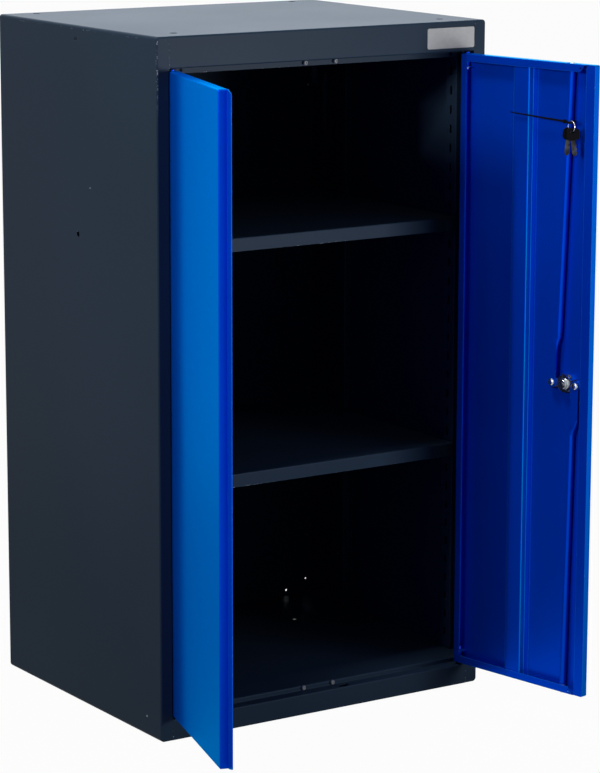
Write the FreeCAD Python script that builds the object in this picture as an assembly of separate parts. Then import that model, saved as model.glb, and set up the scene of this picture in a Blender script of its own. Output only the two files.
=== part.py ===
import FreeCAD, Part
import math
import os

os.makedirs("parts", exist_ok=True)
V = FreeCAD.Vector
OUT = V(1, 0, 0)
INWARD = V(0, 1, 0)
UP = V(0, 0, 1)

# Frame: X to the right, Y to the back, Z up, millimetres
# Origin in the middle of the footprint, on the floor
WIDTH = 500.0
DEPTH = 410.0
HEIGHT = 900.0
HALF = WIDTH / 2
FRONT = -DEPTH / 2
BACK = DEPTH / 2

# Sheet of the carcass, its inside bend radii and the gaps between pieces
GAUGE = 1.0
MID = GAUGE / 2
BEND = 0.8
TOP_BEND = 3.0
FOOT_BEND = 4.5
EDGE_BEND = 1.2
SEAM = 0.2
SEAT = 0.1
LAP_GAP = 0.3

# Front of the carcass: stiles, fascia, rail and door stops
STILE = 18.0
STILE_EDGE = HALF - STILE
INNER_HALF = STILE_EDGE - SEAM
STILE_LAP = 6.0
CAP_LAP = 0.5
TOP_SEAM = HEIGHT - GAUGE - TOP_BEND - CAP_LAP
FASCIA_TALL = 40.0
FASCIA_LOW = HEIGHT - FASCIA_TALL
RAIL_TOP = 28.0
RECESS = 16.0
STOP_PLANE = FRONT + RECESS
STOP_TALL = 8.0
STOP_LOW = FASCIA_LOW - STOP_TALL
FOOT_FLANGE = 22.0
REAR_FLANGE = 24.0

# Floor and back
FLOOR_STEP = 6.6
FLOOR_LEVEL = RAIL_TOP + FLOOR_STEP
FLOOR_FLANGE = 20.6
FLOOR_LAP = 2.0
BACK_STEP = 4.0
BACK_INNER = BACK - 2 * GAUGE - BACK_STEP
BACK_FOLD_IN = 52.0
BACK_FOLD = HALF - BACK_FOLD_IN
BACK_SLOPE = 4.0
BACK_FOOT = 3.0
BACK_HEAD = 11.0
BACK_SIDE = 2.0
FLOOR_BACK = BACK_INNER - SEAT

# Holes of the carcass, placed from its edges
TOP_HOLE_R = 5.0
TOP_HOLE_SIDE = 47.0
TOP_HOLE_FRONT = 38.0
TOP_HOLE_REAR = 18.0
SIDE_HOLE_R = 3.5
SIDE_HOLE_Y = -3.0
SIDE_HOLE_DROP = 17.4
SIDE_HOLE_PITCH = 251.2
CORNER_HOLE_R = 1.6
CORNER_HOLE_IN = 10.0
CORNER_HOLE_Z = 54.0
BACK_HOLE_OUT = 8.0
BACK_HOLE_RISE = 6.4
FLOOR_HOLE_R = 3.0
FLOOR_HOLE_SIDE = 106.0
FLOOR_HOLE_REAR = 119.0
STRIP_HOLE_R = 2.4
STRIP_HOLE_IN = 26.0

# Blind rivets of the back panel
BACK_RIVET_R = 1.6
BACK_RIVET_HEAD_R = 3.4
BACK_RIVET_DOME = 1.6
BACK_RIVET_TAIL = 1.0
BACK_RIVET_IN = 9.0
BACK_RIVET_FIRST = 120.0
BACK_RIVET_PITCH = 220.0
RIVET_PLAY = 0.05

# Slotted uprights
UPRIGHT_FRONT = 60.0
UPRIGHT_REAR = 89.0
UPRIGHT_DEPTH = 10.0
UPRIGHT_FACE = 24.0
UPRIGHT_FLANGE = 8.0
UPRIGHT_RISE = 1.4
UPRIGHT_HEAD = 2.0
UPRIGHT_LOW = FLOOR_LEVEL + UPRIGHT_RISE
UPRIGHT_HIGH = STOP_LOW - UPRIGHT_HEAD
UPRIGHT_WALL = HALF - GAUGE
UPRIGHT_INNER = UPRIGHT_WALL - UPRIGHT_DEPTH
SLOT_WIDE = 4.5
SLOT_TALL = 11.0
SLOT_PITCH = 25.667
SLOT_FIRST = 22.3
SLOT_END = 15.0
UPPER_SHELF_SLOT = 22
LOWER_SHELF_SLOT = 10

# Shelves and their clips
SHELF_FLANGE = 17.5
SHELF_SETBACK = 40.0
SHELF_FRONT = FRONT + SHELF_SETBACK
SHELF_REAR_GAP = 3.0
SHELF_BACK = BACK_INNER - SHELF_REAR_GAP
SHELF_HEM = 14.0
SHELF_BEND = 0.6
SHELF_PLAY = 0.9
CLIP_GAUGE = 1.5
CLIP_LEDGE = 13.0
CLIP_WIDE = 16.0
CLIP_RISE = 5.0
HOOK_LOW = 3.0
HOOK_RISE = 5.5
HOOK_PLAY = 0.4
SLOT_ABOVE_FLANGE = 5.0
SHELF_HALF = UPRIGHT_INNER - SEAT - CLIP_GAUGE - SHELF_PLAY

# Rubber bumpers on the stops and the plate on the fascia
BUMPER_X = 23.0
BUMPER_R = 3.0
BUMPER_STEM_R = 1.4
BUMPER_STEM = 2.6
BUMPER_DISH_R = 1.5
BUMPER_DISH = 0.9
BUMPER_MARGIN = 1.0
BUMPER_HIGH = FASCIA_LOW - BUMPER_MARGIN - BUMPER_R
BUMPER_LOW = RAIL_TOP + BUMPER_MARGIN + BUMPER_R
PLATE_WIDE = 75.0
PLATE_TALL = 27.0
PLATE_GAUGE = 0.6
PLATE_RISE = 5.0
PLATE_SIDE = 0.5
PLATE_CORNER = 2.5
PLATE_SOFT = 0.25

# Doors, measured from the hinge edge (u), the outer face (d) and the floor (z)
HINGE_GAP = 2.0
MEETING_GAP = 2.0
DOOR_EDGE = STILE_EDGE - HINGE_GAP
DOOR_WIDE = DOOR_EDGE - MEETING_GAP / 2
DOOR_THICK = 12.0
END_GAP = 3.0
DOOR_LOW = RAIL_TOP + END_GAP
DOOR_HIGH = FASCIA_LOW - END_GAP
DOOR_BEND = 1.0
FACE_SHARE = 0.9
HINGE_RETURN = 9.5
END_RETURN = 10.0
LIP_WIDE = 16.0
LIP_SLOPE = 3.5
LIP_CORNER = 1.0
LIP_PLAY = 0.5
FREE_STEP = 2.0
FREE_THICK = DOOR_THICK - FREE_STEP
FREE_RETURN = LIP_WIDE - MEETING_GAP + LIP_PLAY
FREE_WALL = 0.4
SLANT = 7.0
RETURN_HOLE_R = 1.6
RETURN_HOLE_IN = 6.5
HAT_CENTRE = 105.5
HAT_FACE = 26.5
HAT_FLANGE = 8.0
HAT_END = 2.5
LEFT_OPEN = 106.0
RIGHT_OPEN = 100.5

# Hinge pins with their bushes, brackets and clips
PIN_IN = 5.0
PIN_R = 2.5
PIN_RUN = 0.07
PIN_HOLE_PLAY = 0.1
PIN_INSIDE = 22.0
PIN_END = 2.0
PIN_CHAMFER = 0.5
PIN_CONE = 1.2
PIN_X = DOOR_EDGE - PIN_IN
PIN_Y = FRONT + PIN_IN
BUSH_WALL = 1.03
BUSH_R = PIN_R + PIN_RUN + BUSH_WALL
BUSH_RIM = 1.0
BUSH_LONG = 4.0
BUSH_THIN = 1.2
BUSH_THICK = END_GAP - LAP_GAP
BRACKET_DROP = 17.0
BRACKET_GAUGE = 1.2
BRACKET_LONG = 13.0
BRACKET_TAB = 8.0
BRACKET_INSET = 1.1
CLIP_RING_WIDE = 1.05
CLIP_RING_THICK = 0.8
CLIP_RING_GAP = 0.4

# Lock on the right door, seen with the door shut
CAM_R = 20.0
ROD_FLAT_WIDE = 13.0
ROD_EDGE_GAP = 2.0
LOCK_X = MEETING_GAP / 2 + FREE_RETURN + ROD_EDGE_GAP + ROD_FLAT_WIDE / 2 + CAM_R
LOCK_DROP = 1.0
LOCK_Z = (DOOR_LOW + DOOR_HIGH) / 2 - LOCK_DROP
BARREL_R = 9.0
BARREL_HOLE_PLAY = 0.3
BARREL_PLAY = 0.2
BARREL_RIM_R = 12.0
BARREL_RIM = 2.5
BARREL_EDGE = 0.6
ROSETTE_R = 17.2
ROSETTE_TALL = 3.0
NUT_ACROSS = 24.0
NUT_TALL = 3.6
NUT_PLAY = 0.1
SPINDLE_R = 5.0
SPINDLE_RUN = 0.08
SPINDLE_GRIP = 14.0
SQUARE = 7.0
STUD_R = 3.0
STUD_OUT = 5.5
CAM_CLEAR = 1.4
CAM_D = GAUGE + NUT_TALL + CAM_CLEAR
CAM_GAUGE = 2.5
CAM_FACE = CAM_D + CAM_GAUGE
CAM_BAR = 12.0
CAM_HUB_R = 11.5
CAM_EYE_R = 8.0
BARREL_END = 0.6
WASHER_R = 7.6
WASHER_TALL = 1.1
WASHER_EDGE = 0.35
CAM_NUT_ACROSS = 11.0
CAM_NUT_TALL = 3.6
CAM_NUT_EDGE = 0.8
RIVET_R = 3.0
RIVET_HEAD_R = 5.0
RIVET_DOME = 2.3
RIVET_TAIL_R = 4.6
RIVET_TAIL = 1.5

# Lock rods
ROD_R = 4.0
ROD_RUN = 0.08
SLOT_PLAY = 0.7
SLOT_WALL = 0.8
ROD_D = GAUGE + SLOT_WALL + SLOT_PLAY + ROD_R
ROD_FLAT_GAUGE = 2.1
ROD_SIDE_PLAY = 0.2
ROD_STRAP = 44.0
ROD_CRANK = 22.0
ROD_CONE = 3.0
ROD_TIP = 1.6
TIP_OUT = 1.5
CRANK_SIDE = 6.0
UPPER_GUIDE_SHIFT = 2.5
LOWER_GUIDE_SHIFT = 6.0

# Turn handle with its key plug
HANDLE_GAP = 0.3
HANDLE_IN = -ROSETTE_TALL - BARREL_RIM - HANDLE_GAP
HANDLE_NECK_WIDE = 25.0
HANDLE_NECK_TALL = 22.0
HANDLE_NECK = 6.2
HANDLE_FLARE = 8.0
HANDLE_WIDE = 50.0
HANDLE_TALL = 20.0
HANDLE_GRIP = 8.0
HANDLE_CROWN = 3.0
HANDLE_OUT = HANDLE_IN - HANDLE_NECK - HANDLE_FLARE - HANDLE_GRIP - HANDLE_CROWN
PLUG_R = 5.5
PLUG_RUN = 0.07
PLUG_LONG = 14.2
PLUG_OUT = 0.4
PLUG_ROOM = 0.8
KEYWAY_WIDE = 1.8
KEYWAY_TALL = 7.2
KEYWAY_DEEP = 9.4

# Tie round the upper rod
TIE_DROP = 74.0
TIE_Z = DOOR_HIGH - TIE_DROP
TIE_TALL = 2.5
TIE_GAUGE = 1.0
TIE_PLAY = 0.35
LOOP_OUT = 13.1
LOOP_RISE = 42.7
TIE_HEAD_LONG = 5.2
TIE_HEAD_THICK = 4.2
TIE_HEAD_TALL = 4.4
TIE_HEAD_SOFT = 0.6
TIE_HEAD_AWAY = 2.4
TIE_HEAD_SHARE = 0.05
TAIL_BEND = 55.0
TAIL_REACH = 95.0
TAIL_BEND_RISE = 2.4
TAIL_TIP_RISE = 4.6
TAIL_BEND_OVER = 1.2
TAIL_TIP_OVER = 2.6
TAIL_TIP_TALL = 1.2

# Key ring and keys
RING_R = 6.9
RING_WIRE = 0.6
RING_PLAY = 0.5
RING_TURN = 31.0
HEAD_WIDE = 16.5
HEAD_TALL = 15.5
HEAD_GAUGE = 2.2
HEAD_CORNER = 5.2
HEAD_SOFT = 0.5
HEAD_OVER_HOLE = 4.0
KEY_HOLE_R = 2.5
BLADE_WIDE = 6.8
BLADE_LONG = 20.0
BLADE_GAUGE = 1.6
BLADE_NOTCH = 1.3
BLADE_PITCH = 5.0
BLADE_POINT = 4.0
KEY_TWIST = 33.0
KEY_TWIST_STEP = 5.0
KEY_SPREAD = 30.0
KEY_FAN = 0.2


def box(x0, x1, y0, y1, z0, z1):
    return Part.makeBox(x1 - x0, y1 - y0, z1 - z0, V(x0, y0, z0))


def drum(radius, length, base, axis):
    return Part.makeCylinder(radius, length, base, axis)


def drill(radius, spot, axis, reach):
    """Cutter for a round hole, reaching both ways from a spot."""
    return drum(radius, 2 * reach, spot - axis * reach, axis)


def fuse(shapes):
    return shapes[0].multiFuse(shapes[1:]).removeSplitter()


def save(name, shape):
    if isinstance(shape, list):
        shape = Part.makeCompound(shape)
    shape.exportStep("parts/" + name + ".step")


def moved(shape, step):
    other = shape.copy()
    other.translate(step)
    return other


def mirrored(shape):
    return shape.mirror(V(0, 0, 0), OUT)


def both(shape):
    return [shape, mirrored(shape)]


def upside_down(shape):
    return shape.mirror(V(0, 0, 0), UP)


def round_edges(shape, radius, wanted):
    chosen = [edge for edge in shape.Edges if wanted(edge)]
    return shape.makeFillet(radius, chosen)


def lies_at(edge, axis, value):
    return all(abs(getattr(vertex.Point, axis) - value) < 1e-4 for vertex in edge.Vertexes)


def runs_along(edge, axis):
    if len(edge.Vertexes) != 2:
        return False
    step = edge.Vertexes[1].Point - edge.Vertexes[0].Point
    return abs(getattr(step, axis)) > 0.999 * step.Length


def on_plan(a, b):
    return V(a, b, 0)


def on_side(a, b):
    return V(0, a, b)


def on_front(a, b):
    return V(a, 0, b)


def prism(points, place, sweep):
    corners = [place(a, b) for a, b in points]
    return Part.Face(Part.makePolygon(corners + corners[:1])).extrude(sweep)


def folded(points, place, sweep, gauge=GAUGE, bend=BEND):
    """Bent sheet whose middle line runs through the points."""
    half = gauge / 2
    radius = bend + half
    spots = [V(a, b, 0) for a, b in points]
    upper = []
    lower = []
    start = spots[0]
    for index in range(1, len(spots)):
        way = (spots[index] - spots[index - 1]).normalize()
        normal = V(-way.y, way.x, 0)
        stop = spots[index]
        turn = 0.0
        if index < len(spots) - 1:
            after = (spots[index + 1] - spots[index]).normalize()
            turn = math.atan2(way.x * after.y - way.y * after.x, way.dot(after))
            stop = spots[index] - way * (radius * math.tan(abs(turn) / 2))
        upper.append(("line", start + normal * half, stop + normal * half))
        lower.append(("line", start - normal * half, stop - normal * half))
        if index < len(spots) - 1:
            side = 1.0 if turn > 0 else -1.0
            centre = stop + normal * (side * radius)
            begin = spots[index] + after * (radius * math.tan(abs(turn) / 2))
            middle = ((stop - centre) + (begin - centre)).normalize()
            for row, sign in ((upper, 1.0), (lower, -1.0)):
                reach = radius - side * sign * half
                first = centre + (stop - centre).normalize() * reach
                last = centre + (begin - centre).normalize() * reach
                row.append(("arc", first, centre + middle * reach, last))
            start = begin
    edges = []
    for row in (upper, lower):
        for piece in row:
            spread = [place(spot.x, spot.y) for spot in piece[1:]]
            if piece[0] == "line":
                edges.append(Part.makeLine(spread[0], spread[1]))
            else:
                edges.append(Part.Arc(*spread).toShape())
    for row_end in (0, -1):
        spot = 1 if row_end == 0 else -1
        a = upper[row_end][spot]
        b = lower[row_end][spot]
        edges.append(Part.makeLine(place(a.x, a.y), place(b.x, b.y)))
    outline = Part.Wire(Part.__sortEdges__(edges))
    return Part.Face(outline).extrude(sweep)


def turned(profile, base, axis):
    """Round piece from (radius, height) points, set up along an axis."""
    corners = [V(r, 0, h) for r, h in profile]
    face = Part.Face(Part.makePolygon(corners + corners[:1]))
    solid = face.revolve(V(0, 0, 0), UP, 360)
    solid.Placement = FreeCAD.Placement(base, FreeCAD.Rotation(UP, axis))
    return solid


def dome(radius, base, rise):
    """Profile points of a rivet head."""
    shares = ((1.0, 0.0), (0.9, 0.48), (0.64, 0.83), (0.32, 0.96), (0.0, 1.0))
    return [(radius * a, base + rise * b) for a, b in shares]


def hexagon(across, base, height, axis):
    reach = across / math.sqrt(3)
    corners = [V(reach * math.cos(k * math.pi / 3), reach * math.sin(k * math.pi / 3), 0) for k in range(6)]
    solid = Part.Face(Part.makePolygon(corners + corners[:1])).extrude(V(0, 0, height))
    solid.Placement = FreeCAD.Placement(base, FreeCAD.Rotation(UP, axis))
    return solid


# Carcass shell, cut into the side panels and the top panel
def carcass_block(inset):
    grow = GAUGE - inset
    top = HEIGHT - inset
    body = box(-HALF + inset, HALF - inset, FRONT + inset, BACK - inset, inset, top)
    body = round_edges(body, TOP_BEND + grow, lambda e: runs_along(e, "y") and lies_at(e, "z", top))
    body = round_edges(body, FOOT_BEND + grow, lambda e: runs_along(e, "y") and lies_at(e, "z", inset))
    body = round_edges(body, EDGE_BEND + grow, lambda e: lies_at(e, "y", FRONT + inset))
    return round_edges(body, EDGE_BEND + grow, lambda e: lies_at(e, "y", BACK - inset))


shell = carcass_block(0.0).cut(carcass_block(GAUGE))

# Holes shared by the side panels and the back panel
rivet_count = 1 + int((HEIGHT - 2 * BACK_RIVET_FIRST) / BACK_RIVET_PITCH)
rivet_heights = [BACK_RIVET_FIRST + BACK_RIVET_PITCH * k for k in range(rivet_count)]
rivet_x = HALF - BACK_RIVET_IN
through_back = 2 * GAUGE + BACK_STEP
corner_hole = drill(CORNER_HOLE_R, V(HALF - CORNER_HOLE_IN, BACK - GAUGE, CORNER_HOLE_Z), INWARD, through_back)
rivet_holes = [
    drill(BACK_RIVET_R + RIVET_PLAY, V(rivet_x, BACK - GAUGE, height), INWARD, through_back)
    for height in rivet_heights
]
flange_holes = Part.makeCompound([corner_hole] + rivet_holes)

# Side panels with front stile, door lip, rear flange and foot flange
side = shell.common(box(STILE_EDGE, HALF, FRONT, BACK, 0, TOP_SEAM))
lip_line = STILE_EDGE + MID
lip = folded(
    [(STILE_EDGE + STILE_LAP, FRONT + MID), (lip_line, FRONT + MID), (lip_line, STOP_PLANE)],
    on_plan,
    V(0, 0, DOOR_HIGH - DOOR_LOW),
)
lip.translate(V(0, 0, DOOR_LOW))
bend_room = box(STILE_EDGE, STILE_EDGE + STILE_LAP - BEND, FRONT, FRONT + GAUGE, DOOR_LOW, DOOR_HIGH)
side = fuse([side.cut(bend_room), lip])
side = side.cut(flange_holes)
save("right_side_panel", side)
left_side = mirrored(side)
for height in (HEIGHT - SIDE_HOLE_DROP, HEIGHT - SIDE_HOLE_DROP - SIDE_HOLE_PITCH):
    left_side = left_side.cut(drill(SIDE_HOLE_R, V(-HALF, SIDE_HOLE_Y, height), OUT, 2 * GAUGE))
save("left_side_panel", left_side)

# Top panel: sheet with rounded sides, fascia, ledge and upper door stop
span = V(2 * INNER_HALF, 0, 0)
cap = shell.common(box(-HALF, HALF, FRONT, BACK, TOP_SEAM, HEIGHT))
header = folded(
    [
        (FRONT + MID, TOP_SEAM),
        (FRONT + MID, FASCIA_LOW + MID),
        (STOP_PLANE + MID, FASCIA_LOW + MID),
        (STOP_PLANE + MID, STOP_LOW),
    ],
    on_side,
    span,
)
header.translate(V(-INNER_HALF, 0, 0))
rear_flange = box(-INNER_HALF, INNER_HALF, BACK - GAUGE, BACK, TOP_SEAM - REAR_FLANGE, TOP_SEAM)
top = fuse([cap, header, rear_flange])
top_hole_x = HALF - TOP_HOLE_SIDE
for x in (-top_hole_x, top_hole_x):
    for y in (FRONT + TOP_HOLE_FRONT, BACK - TOP_HOLE_REAR):
        top = top.cut(drill(TOP_HOLE_R, V(x, y, HEIGHT), UP, 2 * GAUGE))

# Bottom panel: foot flange, rail, ledge, lower door stop and floor in one sheet
floor_mid = FLOOR_LEVEL - MID
flange_low = FLOOR_LEVEL - FLOOR_FLANGE
bottom_main = folded(
    [
        (FRONT + FOOT_FLANGE, MID),
        (FRONT + MID, MID),
        (FRONT + MID, RAIL_TOP - MID),
        (STOP_PLANE + MID, RAIL_TOP - MID),
        (STOP_PLANE + MID, floor_mid),
        (FLOOR_BACK - MID, floor_mid),
        (FLOOR_BACK - MID, flange_low),
    ],
    on_side,
    span,
)
bottom_main.translate(V(-INNER_HALF, 0, 0))
wing_line = HALF - GAUGE - LAP_GAP - MID
wing_front = STOP_PLANE + 2 * FLOOR_LAP
wing = folded(
    [(INNER_HALF - FLOOR_LAP, floor_mid), (wing_line, floor_mid), (wing_line, flange_low)],
    on_front,
    V(0, FLOOR_BACK - FLOOR_LAP - wing_front, 0),
)
wing.translate(V(0, wing_front, 0))
bottom = fuse([bottom_main] + both(wing))
floor_hole_x = HALF - FLOOR_HOLE_SIDE
for x in (-floor_hole_x, floor_hole_x):
    bottom = bottom.cut(drill(FLOOR_HOLE_R, V(x, BACK - FLOOR_HOLE_REAR, FLOOR_LEVEL), UP, 2 * GAUGE))

# Stop strips: bumper holes and the small holes near the ends
stem_hole_r = BUMPER_STEM_R + SEAT
strip_hole_x = STILE_EDGE - STRIP_HOLE_IN
for x in (-BUMPER_X, BUMPER_X):
    top = top.cut(drill(stem_hole_r, V(x, STOP_PLANE, BUMPER_HIGH), INWARD, 2 * GAUGE))
    bottom = bottom.cut(drill(stem_hole_r, V(x, STOP_PLANE, BUMPER_LOW), INWARD, 2 * GAUGE))
for x in (-strip_hole_x, strip_hole_x):
    top = top.cut(drill(STRIP_HOLE_R, V(x, STOP_PLANE, BUMPER_HIGH), INWARD, 2 * GAUGE))


# Bushes of the hinge pins, pressed into the ledges
def hinge_bush(flange):
    bore = PIN_R + PIN_RUN
    rim = BUSH_R + BUSH_RIM
    return [(bore, -flange), (rim, -flange), (rim, 0.0), (BUSH_R, 0.0), (BUSH_R, BUSH_LONG), (bore, BUSH_LONG)]


upper_bush = turned(hinge_bush(BUSH_THIN), V(PIN_X, PIN_Y, FASCIA_LOW), UP)
lower_bush = turned(hinge_bush(BUSH_THICK), V(PIN_X, PIN_Y, RAIL_TOP), -UP)
for x in (-PIN_X, PIN_X):
    top = top.cut(drill(BUSH_R + SEAT, V(x, PIN_Y, FASCIA_LOW), UP, 2 * GAUGE))
    bottom = bottom.cut(drill(BUSH_R + SEAT, V(x, PIN_Y, RAIL_TOP), UP, 2 * GAUGE))
save("hinge_bushes", both(upper_bush) + both(lower_bush))

# Lock rods at rest: from the cam pins through the guide slots of the door
upper_pin = (LOCK_X + CAM_R, LOCK_Z)
lower_pin = (LOCK_X - CAM_R, LOCK_Z)
upper_guide = (LOCK_X - UPPER_GUIDE_SHIFT, DOOR_HIGH - MID)
lower_guide = (LOCK_X - LOWER_GUIDE_SHIFT, DOOR_LOW + MID)


def lean(sign, pin, guide):
    """Lean of a rod whose bar runs through its guide, beside the rivet by the crank's step."""
    across = guide[0] - pin[0]
    along = abs(guide[1] - pin[1])
    return math.atan2(across, along) + sign * math.asin(CRANK_SIDE / math.hypot(across, along))


def bar_place(sign, pin, z, turn):
    """Sideways place of a rod's bar at a height."""
    return pin[0] - sign * CRANK_SIDE / math.cos(turn) + math.tan(turn) * abs(z - pin[1])


def guide_reach(sign, guide):
    """Sideways travel of a rod at its guide while the cam turns a quarter."""
    first = lean(sign, (LOCK_X + sign * CAM_R, LOCK_Z), guide)
    last = lean(sign, (LOCK_X, LOCK_Z + sign * CAM_R), guide)
    places = []
    for step in range(19):
        angle = math.radians(step * 5)
        x = LOCK_X + sign * CAM_R * math.cos(angle)
        z = LOCK_Z + sign * CAM_R * math.sin(angle)
        now = first + (last - first) * step / 18
        places.append(bar_place(sign, (x, z), guide[1], now))
    return min(places), max(places)


def rod_slot(sign, guide, z0, z1):
    low, high = guide_reach(sign, guide)
    reach = ROD_R + SLOT_PLAY
    y = FRONT + ROD_D
    bar = box(low, high, y - reach, y + reach, z0, z1)
    ends = [drum(reach, z1 - z0, V(x, y, z0), UP) for x in (low, high)]
    return fuse([bar] + ends)


upper_slot = rod_slot(1, upper_guide, DOOR_HIGH - 2 * GAUGE, FASCIA_LOW + 2 * GAUGE)
lower_slot = rod_slot(-1, lower_guide, RAIL_TOP - 2 * GAUGE, DOOR_LOW + 2 * GAUGE)
top = top.cut(upper_slot)
bottom = bottom.cut(lower_slot)
save("top_panel", top)
save("bottom_panel", bottom)

# Back panel, stepped forward between two upright folds, riveted to the flanges
edge_line = BACK - GAUGE - MID
fold_line = edge_line - BACK_STEP
back_edge = HALF - GAUGE - BACK_SIDE
slope_half = BACK_SLOPE / 2
back = folded(
    [
        (-back_edge, edge_line),
        (-BACK_FOLD - slope_half, edge_line),
        (-BACK_FOLD + slope_half, fold_line),
        (BACK_FOLD - slope_half, fold_line),
        (BACK_FOLD + slope_half, edge_line),
        (back_edge, edge_line),
    ],
    on_plan,
    V(0, 0, HEIGHT - BACK_FOOT - BACK_HEAD),
)
back.translate(V(0, 0, BACK_FOOT))
back = back.cut(flange_holes).cut(mirrored(flange_holes))
back_hole_x = BACK_FOLD + BACK_HOLE_OUT
for x in (-back_hole_x, back_hole_x):
    back = back.cut(drill(CORNER_HOLE_R, V(x, BACK - GAUGE, FLOOR_LEVEL + BACK_HOLE_RISE), INWARD, through_back))
rivet_tail = -2 * GAUGE - BACK_RIVET_TAIL
rivet_profile = [(0, rivet_tail), (BACK_RIVET_R, rivet_tail), (BACK_RIVET_R, 0.0)]
rivet_profile += dome(BACK_RIVET_HEAD_R, 0.0, BACK_RIVET_DOME)
back_rivets = []
for height in rivet_heights:
    back_rivets += both(turned(rivet_profile, V(rivet_x, BACK, height), INWARD))
save("back_panel", back)
save("back_rivets", back_rivets)

# Slotted uprights for the shelves
face_half = UPRIGHT_FACE / 2
slot_room = UPRIGHT_HIGH - UPRIGHT_LOW - SLOT_FIRST - SLOT_END
slot_count = 1 + int(slot_room / SLOT_PITCH)
upright_places = (FRONT + UPRIGHT_FRONT, BACK - UPRIGHT_REAR)


def slot_height(number):
    return UPRIGHT_LOW + SLOT_FIRST + SLOT_PITCH * number


def upright(y):
    wall = UPRIGHT_WALL - MID
    face = UPRIGHT_INNER + MID
    sheet = folded(
        [
            (wall, y - face_half - UPRIGHT_FLANGE),
            (wall, y - face_half + MID),
            (face, y - face_half + MID),
            (face, y + face_half - MID),
            (wall, y + face_half - MID),
            (wall, y + face_half + UPRIGHT_FLANGE),
        ],
        on_plan,
        V(0, 0, UPRIGHT_HIGH - UPRIGHT_LOW),
    )
    sheet.translate(V(0, 0, UPRIGHT_LOW))
    wide = SLOT_WIDE / 2
    tall = SLOT_TALL / 2
    slot = box(UPRIGHT_INNER - GAUGE, UPRIGHT_INNER + 2 * GAUGE, y - wide, y + wide, -tall, tall)
    slots = [moved(slot, V(0, 0, slot_height(number))) for number in range(slot_count)]
    return sheet.cut(Part.makeCompound(slots))


for word, place in zip(("front", "rear"), upright_places):
    post = upright(place)
    save("right_" + word + "_upright", post)
    save("left_" + word + "_upright", mirrored(post))


# Shelves as flanged trays turned downwards, with a folded front edge
def shelf(level):
    low = level - SHELF_FLANGE
    inside = level - GAUGE
    tray = box(-SHELF_HALF, SHELF_HALF, SHELF_FRONT, SHELF_BACK, low, level)
    tray = round_edges(tray, SHELF_BEND + GAUGE, lambda e: lies_at(e, "z", level) or runs_along(e, "z"))
    half = SHELF_HALF - GAUGE
    room = box(-half, half, SHELF_FRONT + GAUGE, SHELF_BACK - GAUGE, low + GAUGE, inside)
    room = round_edges(room, SHELF_BEND, lambda e: lies_at(e, "z", inside) or runs_along(e, "z"))
    opening = box(-half, half, SHELF_FRONT + SHELF_HEM, SHELF_BACK - GAUGE, low, low + 2 * GAUGE)
    return tray.cut(room).cut(opening)


# Clips hooked into the slots, one under each shelf corner
def clip(level, y):
    flange = level - SHELF_FLANGE
    ledge = flange - CLIP_GAUGE / 2
    hang = UPRIGHT_INNER - SEAT - CLIP_GAUGE / 2
    plate = folded(
        [(hang, flange + CLIP_RISE), (hang, ledge), (hang - CLIP_LEDGE, ledge)],
        on_front,
        V(0, CLIP_WIDE, 0),
        CLIP_GAUGE,
    )
    plate.translate(V(0, y - CLIP_WIDE / 2, 0))
    hook_x = UPRIGHT_INNER + GAUGE + LAP_GAP + CLIP_GAUGE / 2
    hook_wide = SLOT_WIDE - 2 * HOOK_PLAY
    hook = folded(
        [(hang, flange + HOOK_LOW), (hook_x, flange + HOOK_LOW), (hook_x, flange + HOOK_LOW + HOOK_RISE)],
        on_front,
        V(0, hook_wide, 0),
        CLIP_GAUGE,
    )
    hook.translate(V(0, y - hook_wide / 2, 0))
    return fuse([plate, hook])


for word, number in (("upper", UPPER_SHELF_SLOT), ("lower", LOWER_SHELF_SLOT)):
    level = slot_height(number) - SLOT_ABOVE_FLANGE + SHELF_FLANGE
    save(word + "_shelf", shelf(level))
    clips = []
    for place in upright_places:
        clips += both(clip(level, place))
    save(word + "_shelf_clips", clips)

# Rubber bumpers on the stop strips and the plate on the fascia
bumper_face = DOOR_THICK - RECESS + LAP_GAP
bumper_profile = [
    (0, BUMPER_STEM),
    (BUMPER_STEM_R, BUMPER_STEM),
    (BUMPER_STEM_R, 0.0),
    (BUMPER_R, 0.0),
    (BUMPER_R, bumper_face + BUMPER_DISH),
    (BUMPER_R - BUMPER_DISH, bumper_face),
    (BUMPER_DISH_R, bumper_face),
    (BUMPER_DISH_R - LAP_GAP, bumper_face + BUMPER_DISH),
    (0, bumper_face + BUMPER_DISH),
]
bumpers = []
for height in (BUMPER_LOW, BUMPER_HIGH):
    bumpers += both(turned(bumper_profile, V(BUMPER_X, STOP_PLANE, height), INWARD))
save("door_bumpers", bumpers)
plate_right = STILE_EDGE - PLATE_SIDE
plate_low = FASCIA_LOW + PLATE_RISE
plate = box(plate_right - PLATE_WIDE, plate_right, FRONT - PLATE_GAUGE, FRONT, plate_low, plate_low + PLATE_TALL)
plate = round_edges(plate, PLATE_CORNER, lambda e: runs_along(e, "y"))
plate = round_edges(plate, PLATE_SOFT, lambda e: lies_at(e, "y", FRONT - PLATE_GAUGE))
save("fascia_plate", plate)


# Doors are shaped shut, from the hinge edge, and then swung into the open pose
def shut_left(shape):
    return moved(shape, V(-DOOR_EDGE, FRONT, 0))


def shut_right(shape):
    return moved(mirrored(shape), V(DOOR_EDGE, FRONT, 0))


def swing_left(shape):
    swung = shape.copy()
    swung.rotate(V(-PIN_X, PIN_Y, 0), UP, -LEFT_OPEN)
    return swung


def swing_right(shape):
    swung = shape.copy()
    swung.rotate(V(PIN_X, PIN_Y, 0), UP, RIGHT_OPEN)
    return swung


def save_left(name, shapes):
    save(name, [swing_left(shut_left(shape)) for shape in shapes])


def save_right(name, shapes):
    save(name, [swing_right(shut_right(shape)) for shape in shapes])


def save_lock(name, shapes):
    save(name, [swing_right(shape) for shape in shapes])


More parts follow.
